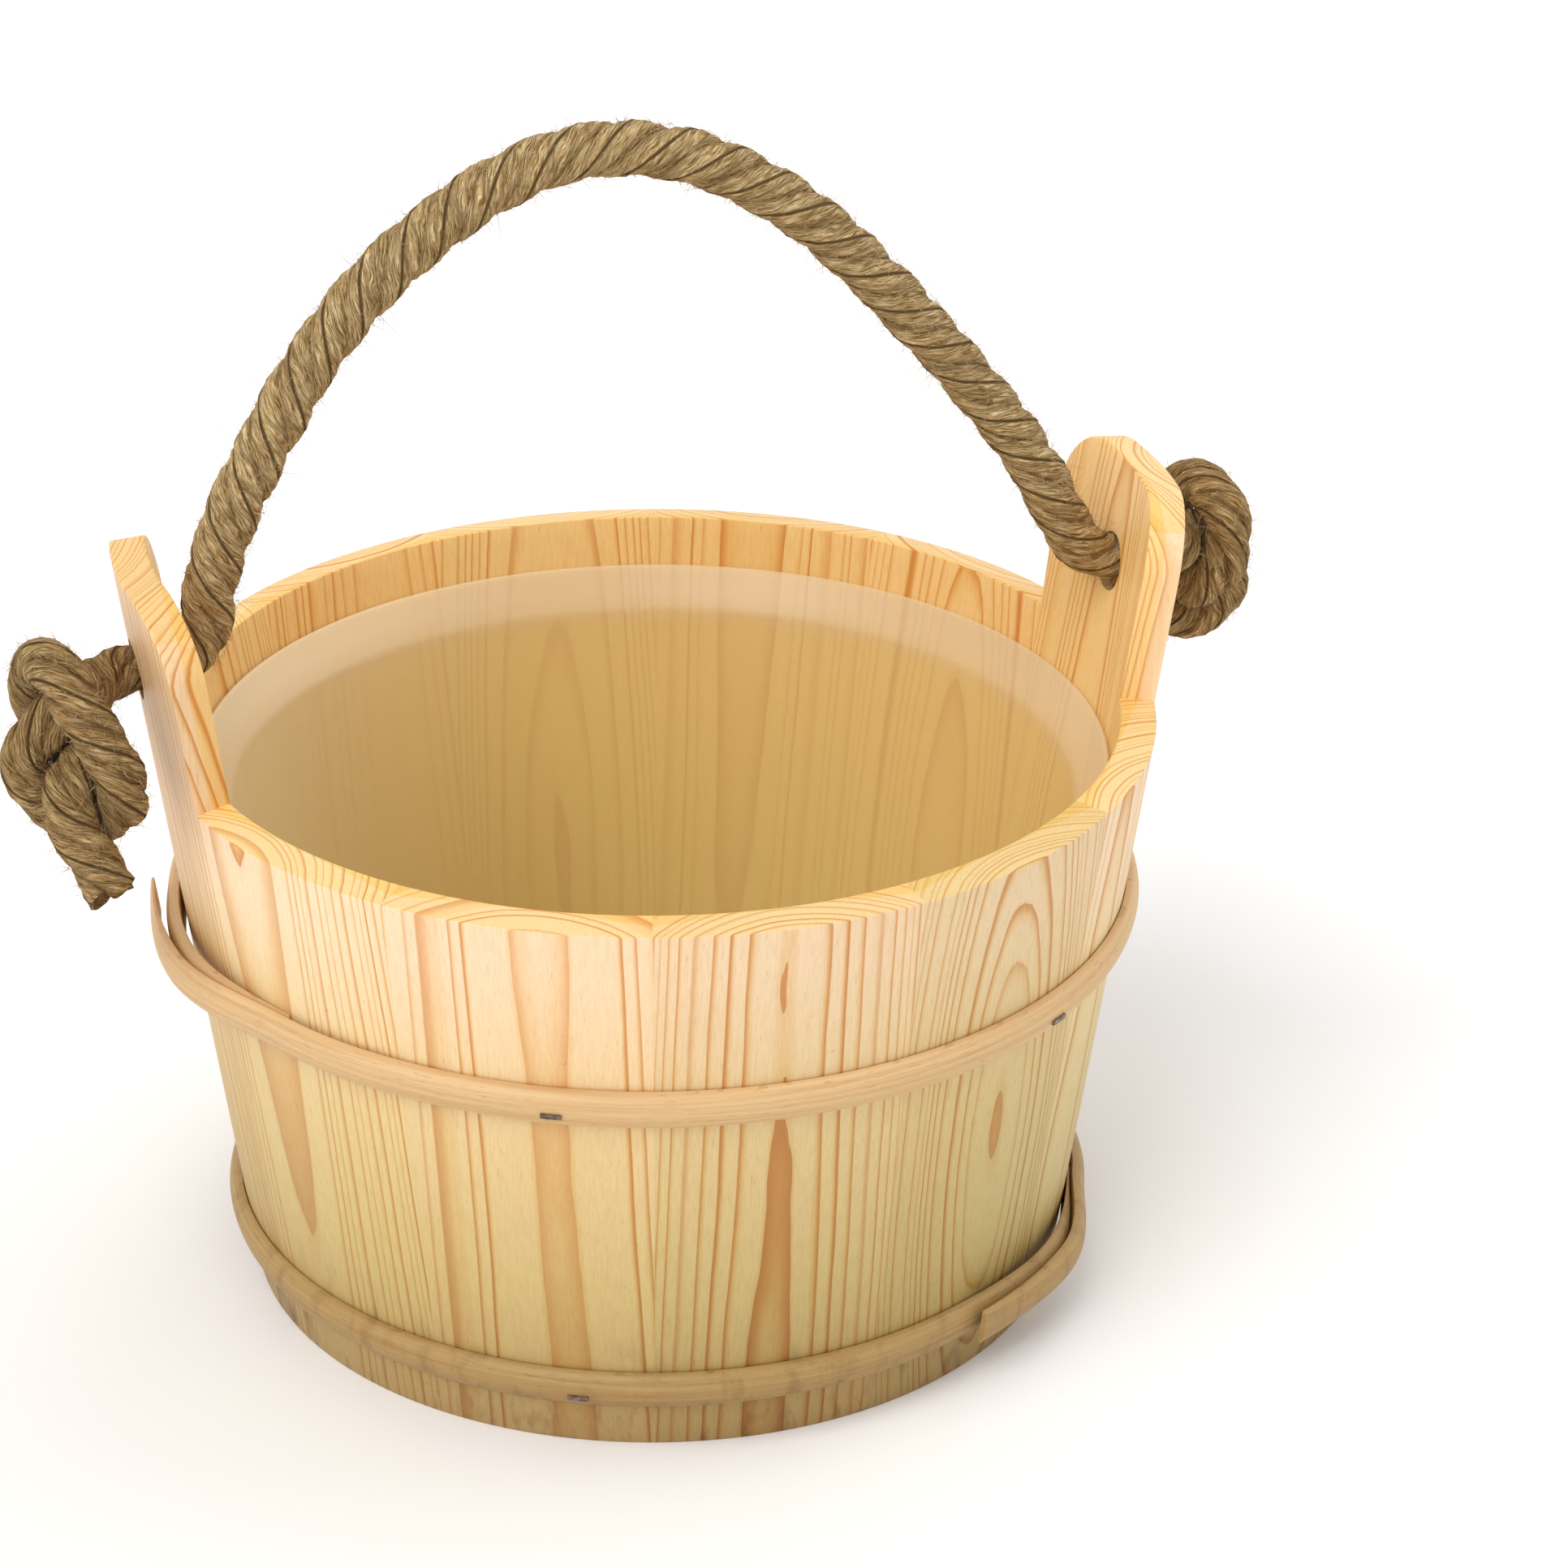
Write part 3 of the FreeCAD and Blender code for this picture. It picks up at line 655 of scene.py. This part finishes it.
def stave(name, turn, ear):
    """A stave's grid: the section at angles from one joint to the other, in place."""
    arc = np.linspace(0, math.pi / 2, 12)
    if ear:
        wide = EAR_CORNER * (1 - np.cos(arc)) / outer(EAR_HEIGHT)
        tops = EAR_HEIGHT - EAR_CORNER * (1 - np.sin(arc))
        left = -HALF_STAVE + wide
        middle = np.linspace(left[-1], -left[-1], 14)[1:-1]
        angles = np.r_[left, middle, -left[::-1]]
        heights = np.r_[tops, np.full(len(middle), EAR_HEIGHT), tops[::-1]]
    else:
        angles = np.linspace(-HALF_STAVE, HALF_STAVE, 25)
        heights = np.full(len(angles), RIM_HEIGHT)
    rows = np.stack([stave_row(h, SOFT_EAR_EDGE if ear else SOFT_EDGE) for h in heights])
    bearing = math.radians(turn) + angles[:, None]
    points = np.stack([rows[..., 0] * np.cos(bearing), rows[..., 0] * np.sin(bearing),
                       rows[..., 1]], -1)
    count = points.shape[1]
    faces = grid_faces(len(angles), count, False, True)
    caps = [list(range(count)), [(len(angles) - 1) * count + k for k in range(count)][::-1]]
    return mesh_piece(name, points, faces, caps, STAVE_SMOOTH)


# %% [markdown]
# The rope hole is drilled with a Boolean modifier: a round bar across both ears is taken out
# of the ear's mesh, and the result is written back as plain faces.


# %% Drill the ears
def drill(piece, height, radius):
    """Takes a round bar that runs along X at this height out of a piece."""
    bar_mesh = bpy.data.meshes.new("bar")
    shape = bmesh.new()
    lying = Matrix.Translation((0, 0, height)) @ Matrix.Rotation(math.pi / 2, 4, "Y")
    bmesh.ops.create_cone(shape, cap_ends=True, segments=64, radius1=radius, radius2=radius,
                          depth=0.4, matrix=lying)
    shape.to_mesh(bar_mesh)
    shape.free()
    bar = bpy.data.objects.new("bar", bar_mesh)
    bpy.context.scene.collection.objects.link(bar)
    cut = piece.modifiers.new("bore", "BOOLEAN")
    cut.operation = "DIFFERENCE"
    cut.solver = "EXACT"
    cut.object = bar
    bpy.context.view_layer.update()
    evaluated = piece.evaluated_get(bpy.context.evaluated_depsgraph_get())
    result = bpy.data.meshes.new_from_object(evaluated)
    piece.modifiers.clear()
    piece.data = result
    result.shade_smooth()
    result.set_sharp_from_angle(angle=math.radians(STAVE_SMOOTH))
    bpy.data.objects.remove(bar)


# %% Build the twelve staves
# Each stave: heart beside it and in front of it, ring width, slant sideways and outwards, bow of
# the heart, the season of the middle ring, and the board's tint. The darker tints of 9 and 10, on
# the right of the front, are partly the board's own tone and partly a painted shade.
STAVE_LOOKS = {
    0: ((0.004, 0.026), 0.0019, (0.03, 0.010), 0.0005, 0.2, (1.0, 0.98, 0.93)),
    1: ((-0.006, 0.034), 0.0018, (-0.02, 0.015), 0.0010, 0.5, (1.0, 0.96, 0.90)),
    2: ((0.010, 0.030), 0.0021, (0.04, -0.012), 0.0000, 0.8, (0.97, 0.93, 0.84)),
    3: ((0.000, 0.034), 0.0018, (0.02, 0.010), 0.0015, 0.3, (0.98, 0.95, 0.88)),
    4: ((-0.012, 0.030), 0.0022, (0.03, 0.010), 0.0000, 0.7, (1.0, 0.94, 0.84)),
    5: ((0.006, 0.036), 0.0018, (-0.03, 0.020), 0.0005, 0.1, (1.0, 0.97, 0.92)),
    6: ((-0.024, 0.030), 0.0017, (0.02, 0.012), 0.0000, 0.4, (0.94, 0.88, 0.78)),
    7: ((-0.013, 0.030), 0.0021, (0.02, -0.028), 0.0000, 0.9, (1.0, 0.98, 0.93)),
    8: ((0.010, 0.030), 0.0042, (0.01, 0.000), 0.0000, 0.57, (1.0, 0.96, 0.94)),
    # The tints of 9 and 10 are partly painted shade.
    9: ((-0.001, 0.032), 0.0022, (0.00, 0.0050), 0.0000, 0.86, (0.92, 0.89, 0.84)),
    10: ((0.007, 0.034), 0.0017, (0.05, 0.000), 0.0034, 0.55, (0.86, 0.85, 0.75)),
    11: ((-0.020, 0.032), 0.0019, (0.03, 0.010), 0.0000, 0.3, (0.97, 0.97, 0.93)),
}
for step, (heart, ring_width, slant, bow, phase, tint) in STAVE_LOOKS.items():
    turn = step * 30
    ear = step % 6 == 0
    if ear:
        node = "stave_ear_right" if step == 0 else "stave_ear_left"
    else:
        node = "stave_%02d" % (step - step // 6)
    wood = pine("pine_" + node, turn, heart, ring_width, slant, bow, phase, tint, step * 2.37 + 1)
    piece = stave(node + "_wood", turn, ear)
    if ear:
        drill(piece, BORE_HEIGHT, BORE_RADIUS)
    finished(piece, "bucket", "pine_ear" if ear else "pine", wood, node)

# %% [markdown]
# ## Bottom boards
# The three boards of the bottom are already right as solids, so they stay and only get wood. Their
# log lies along Y, under the boards.

# %% Wood on the bottom boards
BOARD_PITCH = 0.067
HEART_BELOW = 0.02
BOARD_RING = 0.0024
for index, node in enumerate(("base_board_1", "base_board_2", "base_board_3")):
    net = Network("pine_" + node)
    place = net.add("TexCoord").outputs["Object"]
    to_heart = (BOARD_PITCH - BOARD_PITCH * index, 0, HEART_BELOW)
    side, _, height = net.add("SeparateXYZ", {0: net.stretch(place, (1, 1, 1), to_heart)}).outputs
    slow = net.math("SUBTRACT", net.noise(net.stretch(place, (20, 5, 20), (index, 0, 0)), 1.0), 0.5)
    reach = net.math("SQRT", net.math("ADD", net.math("MULTIPLY", side, side),
                                      net.math("MULTIPLY", height, height)))
    years = net.math("DIVIDE", net.math("MULTIPLY_ADD", slow, 0.006, reach), BOARD_RING)
    shade = net.ramp(net.math("FRACT", years), [(0.0, AUTUMN), (0.06, SPRING), (0.5, SUMMER),
                                                (0.95, WINTER), (1.0, AUTUMN)])
    net.surface(Base_Color=shade, Roughness=0.6)
    net.bump(net.noise(net.stretch(place, (1200, 50, 1200)), 1.0), 0.0001, 0.5)
    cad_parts[node].data.materials.clear()
    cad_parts[node].data.materials.append(net.material)
    print(node, "gets pine along Y")

# %% [markdown]
# ## Hoops
# Each hoop is one thin half-round strip. Its inner tip is shaved thin and pinned to the wall, the
# strip goes once round, and its other end climbs over the tip and is shaved thin as well. Because
# the strip is stiff it doesn't follow the wall there, so a slit shows under the lap. The formula:
# at each degree walked from the tip, a table gives how far the strip stands off the wall and how
# thick it is, eased between the rows, and a half-round profile is set there.

# %% The strip's walk and its profile
# Each row of the table: degrees walked, how far the strip stands off, and how thick it is.
HOOP_HIGH = 0.010
HOOP_SEAT = 0.0001
LAP = np.array([
    (0, 0.0, 0.0010), (20, 0.0024, 0.0040), (42, 0.0, 0.0040), (333, 0.0, 0.0040),
    (360, 0.0011, 0.0040), (380, 0.0066, 0.0040), (399, 0.0066, 0.0016),
])
STRIP_STEPS = 500


def eased(at, rows, column):
    """A table's column at any place, with a soft start and stop between its rows."""
    k = np.clip(np.searchsorted(rows[:, 0], at, side="right") - 1, 0, len(rows) - 2)
    t = np.clip((at - rows[k, 0]) / (rows[k + 1, 0] - rows[k, 0]), 0, 1)
    t = t * t * (3 - 2 * t)
    return rows[k, column] * (1 - t) + rows[k + 1, column] * t


def hoop(name, height, tip):
    """The strip as a grid: walked angle one way, its half-round section the other."""
    walked = np.linspace(0, LAP[-1, 0], STRIP_STEPS)
    stand, thick = eased(walked, LAP, 1), eased(walked, LAP, 2)
    bearing = np.radians(tip - walked)
    half = HOOP_HIGH / 2
    arc = np.linspace(-1, 1, 15)
    level = np.r_[arc * 0.985, 0.99, 0.9, 0.0, -0.9, -0.99]
    bulge = np.r_[np.sqrt(1 - (arc * 0.93) ** 2) * 1.02 - 0.02, 0.05, 0.0, 0.0, 0.0, 0.05]
    seat = outer(height + level * half) + HOOP_SEAT
    radius = seat[None] + stand[:, None] + bulge[None] * thick[:, None]
    points = np.stack([radius * np.cos(bearing)[:, None], radius * np.sin(bearing)[:, None],
                       np.broadcast_to(height + level * half, radius.shape)], -1)
    rows, columns = points.shape[:2]
    faces = grid_faces(rows, columns, False, True)[:, ::-1]
    caps = [list(range(columns))[::-1], [(rows - 1) * columns + k for k in range(columns)]]
    piece = mesh_piece(name, points, faces, caps, smooth_angle=45)
    across = np.broadcast_to(level * half, (rows, columns))
    along = np.broadcast_to((bearing * outer(height))[:, None], (rows, columns))
    place_map(piece, np.stack([across, along], -1).reshape(-1, 2))
    return piece


# %% Split wood of the hoops, with its grain along the strip
def hoop_wood(name, seed):
    """Fine grained bare wood, its streaks along the strip."""
    net = Network(name)
    place = net.add("Attribute", attribute_name="place").outputs["Vector"]
    height = net.add("SeparateXYZ", {0: net.add("TexCoord").outputs["Object"]}).outputs[2]
    streak = net.noise(net.stretch(place, (900, 14, 1), (seed, 0, 0)), 1.0, 4.0, 0.6)
    broad = net.noise(net.stretch(place, (160, 5, 1), (0, seed, 0)), 1.0, 2.0)
    pore = net.noise(net.stretch(place, (3200, 190, 1), (seed, 0, 0)), 1.0, 1.0)
    tone = net.ramp(streak, [(0.25, colour(200, 152, 108)), (0.5, colour(226, 186, 146)),
                             (0.75, colour(238, 206, 168))])
    tone = net.blend(net.math("MULTIPLY", broad, 0.45), tone, colour(240, 194, 152) + (1,))
    tone = net.blend(net.math("MULTIPLY", net.math("GREATER_THAN", pore, 0.66), 0.35), tone,
                     colour(176, 126, 80) + (1,))
    # The base colour gets a painted shade towards the foot, with a few stains.
    net.surface(Base_Color=foot_shade_and_stains(net, tone, height), Specular_IOR_Level=0.35,
                Roughness=net.math("MULTIPLY_ADD", streak, 0.2, 0.42))
    net.bump(streak, 0.00012, 0.7)
    return net.material


for node, height, tip in (("hoop_upper", 0.102, 208.6), ("hoop_lower", 0.0175, 339.0)):
    strip = hoop(node + "_strip", height, tip)
    finished(strip, "bucket", "hoop_wood", hoop_wood("wood_" + node, tip), node)

# %% [markdown]
# ## Staples
# The small wire staples that pin the hoops keep their solids and get a dull steel, browned a little
# in patches.

# %% Dull wire for the staples
net = Network("dull_wire")
place = net.add("TexCoord").outputs["Object"]
worn = net.noise(net.stretch(place, (900, 900, 900)), 1.0, 2.0)
steel = net.ramp(worn, [(0.3, colour(96, 74, 58)), (0.7, colour(150, 138, 126))])
net.surface(Base_Color=steel, Metallic=0.85, Roughness=net.math("MULTIPLY_ADD", worn, 0.3, 0.3))
for node in ("hoop_upper_staples", "hoop_lower_staples"):
    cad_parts[node].data.materials.clear()
    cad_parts[node].data.materials.append(net.material)
    print(node, "gets dull wire")

# %% [markdown]
# ## Liner
# The tub inside is thin frosted plastic that lets the wood shine through, softly. It is a profile
# turned about the axis: foot, wall, the neck where the sloping collar begins, and the collar's
# rounded lip. The profile runs up outside and down inside, so the tub has a real thickness. Glass
# would make it muddy, so the haze is plain see-through colour instead. Light crosses two faces of
# one wall, so nearly all the haze is put on the inner face. The left side gets more haze and a
# paler colour: a painted light.

# %% The tub as a turned profile
LINER_WALL = 0.0013
LINER_FOOT = (0.0915, 0.0213)
LINER_NECK = (0.1066, 0.1285)
LINER_RIM = (0.1140, 0.1385)
LINER_SIDES = 160
COLLAR_FROM = 0.1275
COLLAR_FULL = 0.1295
HAZE = 0.42
COLLAR_HAZE = 0.10
# More haze on the left side: painted light.
PAINTED_LEFT_LIGHT_HAZE = 0.24
OUTER_FACE_HAZE = 0.15


def liner_profile():
    """Distance from the axis and height, from the foot's middle up outside and back inside."""
    foot, neck, rim = LINER_FOOT, LINER_NECK, LINER_RIM
    wall = LINER_WALL
    outside = [np.array([(0.0, foot[1]), (foot[0] - 0.012, foot[1])]),
               rounded(foot, (0, foot[1]), neck, 0.0060, 9),
               np.linspace((0.0932, 0.034), (0.1052, 0.119), 12),
               rounded(neck, foot, rim, 0.0016, 5),
               np.linspace((0.1086, 0.1312), (0.1128, 0.1369), 4),
               np.array([(rim[0] - 0.0003, rim[1] - 0.0003), (rim[0] - 0.0006, rim[1])])]
    inner_foot = (foot[0] - wall, foot[1] + wall)
    inner_neck = (neck[0] - wall, neck[1] + wall / 2)
    inner_rim = (rim[0] - wall, rim[1])
    inside = [np.array([(inner_rim[0] + 0.0002, rim[1]), (inner_rim[0] - 0.0003, rim[1] - 0.0005)]),
              np.linspace((0.1115, 0.1369), (0.1073, 0.1320), 4),
              rounded(inner_neck, inner_rim, inner_foot, 0.0016, 5),
              np.linspace((0.1038, 0.119), (0.0920, 0.035), 12),
              rounded(inner_foot, inner_neck, (0, inner_foot[1]), 0.0047, 9),
              np.array([(foot[0] - 0.012, inner_foot[1]), (0.0, inner_foot[1])])]
    return np.concatenate(outside + inside)


def turned(name, profile, count):
    """A profile turned right round; its two ends lie on the axis and are merged."""
    angle = np.linspace(0, 2 * math.pi, count, endpoint=False)[:, None]
    points = np.stack([profile[:, 0] * np.cos(angle), profile[:, 0] * np.sin(angle),
                       np.broadcast_to(profile[:, 1], (count, len(profile)))], -1)
    faces = grid_faces(count, len(profile), True, False)
    piece = mesh_piece(name, points, faces, smooth_angle=60)
    work = bmesh.new()
    work.from_mesh(piece.data)
    bmesh.ops.remove_doubles(work, verts=work.verts, dist=1e-6)
    bmesh.ops.dissolve_degenerate(work, edges=work.edges, dist=1e-7)
    bmesh.ops.recalc_face_normals(work, faces=work.faces)
    work.to_mesh(piece.data)
    work.free()
    return piece


# %% Frosted plastic
def wall_line(net, low, high, height):
    """Distance from the axis of the middle of the wall between two corners of the profile."""
    slope = (high[0] - low[0]) / (high[1] - low[1])
    return net.math("MULTIPLY_ADD", height, slope, low[0] - slope * low[1] - LINER_WALL / 2)


net = Network("frosted_plastic")
place = net.add("TexCoord").outputs["Object"]
film = net.noise(net.stretch(place, (40, 40, 40)), 1.0, 2.0)
grit = net.noise(net.stretch(place, (2500, 2500, 2500)), 1.0, 1.0)
parts = net.add("SeparateXYZ", {0: place}).outputs
height = parts[2]
across = net.math("ADD", parts[0], 0.15)
# Painted light: the left side of the tub is given more haze and a paler colour.
left = net.ramp(across, [(0.05, WHITE), (0.14, BLACK)])
level = net.stretch(place, (1, 1, 0))
reach = net.add("VectorMath", {0: level}, operation="LENGTH").outputs["Value"]
up = net.math("MULTIPLY_ADD", film, 0.001, height)
golden_with_painted_left_light = net.ramp(left, [(0.0, colour(255, 232, 162)), (1.0, colour(255, 240, 194))])
is_collar = net.ramp(up, [(COLLAR_FROM, BLACK), (COLLAR_FULL, WHITE)])
tone = net.blend(is_collar, golden_with_painted_left_light, colour(244, 220, 176) + (1,))
haze_with_painted_left_light = net.math("MULTIPLY_ADD", is_collar, COLLAR_HAZE,
                net.math("MULTIPLY_ADD", left, PAINTED_LEFT_LIGHT_HAZE, HAZE))
middle = net.math("MAXIMUM", wall_line(net, LINER_FOOT, LINER_NECK, height),
                  wall_line(net, LINER_NECK, LINER_RIM, height))
outside = net.math("MAXIMUM", net.math("GREATER_THAN", reach, middle),
                   net.math("LESS_THAN", height, LINER_FOOT[1] + LINER_WALL / 2))
share = net.math("MULTIPLY_ADD", outside, OUTER_FACE_HAZE - 1, 1.0)
net.surface(Base_Color=tone, Roughness=net.math("MULTIPLY_ADD", film, 0.1, 0.30),
            Alpha=net.math("MULTIPLY", haze_with_painted_left_light, share))
net.bump(grit, 0.00003, 0.4)
tub = turned("liner_tub", liner_profile(), LINER_SIDES)
finished(tub, "liner", "liner_plastic", net.material, "liner")

# %% [markdown]
# ## Floor, light and background
# The bucket stands on a plain pale floor in soft light: one broad lamp from the upper left, a
# weaker one from behind on the right, and an even glow from all round. The camera sees pure white
# where there is nothing, and the floor is white away from the bucket's own shadow.

# %% Floor
FLOOR_HALF = 3.0
corners = FLOOR_HALF * np.array([(-1, -1, 0), (1, -1, 0), (1, 1, 0), (-1, 1, 0)], float)
floor = mesh_piece("floor", corners, np.array([[0, 1, 2, 3]]))
net = Network("pale_floor")
net.surface(Base_Color=(0.93, 0.93, 0.93, 1), Roughness=0.9)
floor.data.materials.append(net.material)


# %% Lamps and the white surround
GLOW = 0.68


def lamp(name, direction, strength, spread, tint):
    """A distant soft lamp: the wider it is spread, the softer its shadow."""
    light = bpy.data.lights.new(name, "SUN")
    light.angle = math.radians(spread)
    light.energy = strength
    light.color = tint
    holder = bpy.data.objects.new(name, light)
    bpy.context.scene.collection.objects.link(holder)
    holder.rotation_euler = Vector(direction).to_track_quat("-Z", "Y").to_euler()


lamp("key_lamp", (0.78, 0.62, -1.25), 1.55, 40, (1.0, 1.0, 1.0))
lamp("fill_lamp", (-0.75, -0.35, -0.9), 0.70, 60, (0.98, 0.99, 1.0))
world = bpy.data.worlds.new("surround")
bpy.context.scene.world = world
world.use_nodes = True
nodes, links = world.node_tree.nodes, world.node_tree.links
nodes.clear()
ray = nodes.new("ShaderNodeLightPath")
seen = ray.outputs["Is Camera Ray"]
for other in ("Is Glossy Ray", "Is Transmission Ray"):
    either = nodes.new("ShaderNodeMath")
    either.operation = "MAXIMUM"
    links.new(seen, either.inputs[0])
    links.new(ray.outputs[other], either.inputs[1])
    seen = either.outputs[0]
mixed = nodes.new("ShaderNodeMixShader")
links.new(seen, mixed.inputs[0])
for socket, strength in ((1, GLOW), (2, 1.0)):
    shine = nodes.new("ShaderNodeBackground")
    shine.inputs[0].default_value = (1, 1, 1, 1)
    shine.inputs[1].default_value = strength
    links.new(shine.outputs[0], mixed.inputs[socket])
end = nodes.new("ShaderNodeOutputWorld")
links.new(mixed.outputs[0], end.inputs[0])
bpy.context.scene.view_settings.view_transform = "Standard"
print("lamps and surround are set")
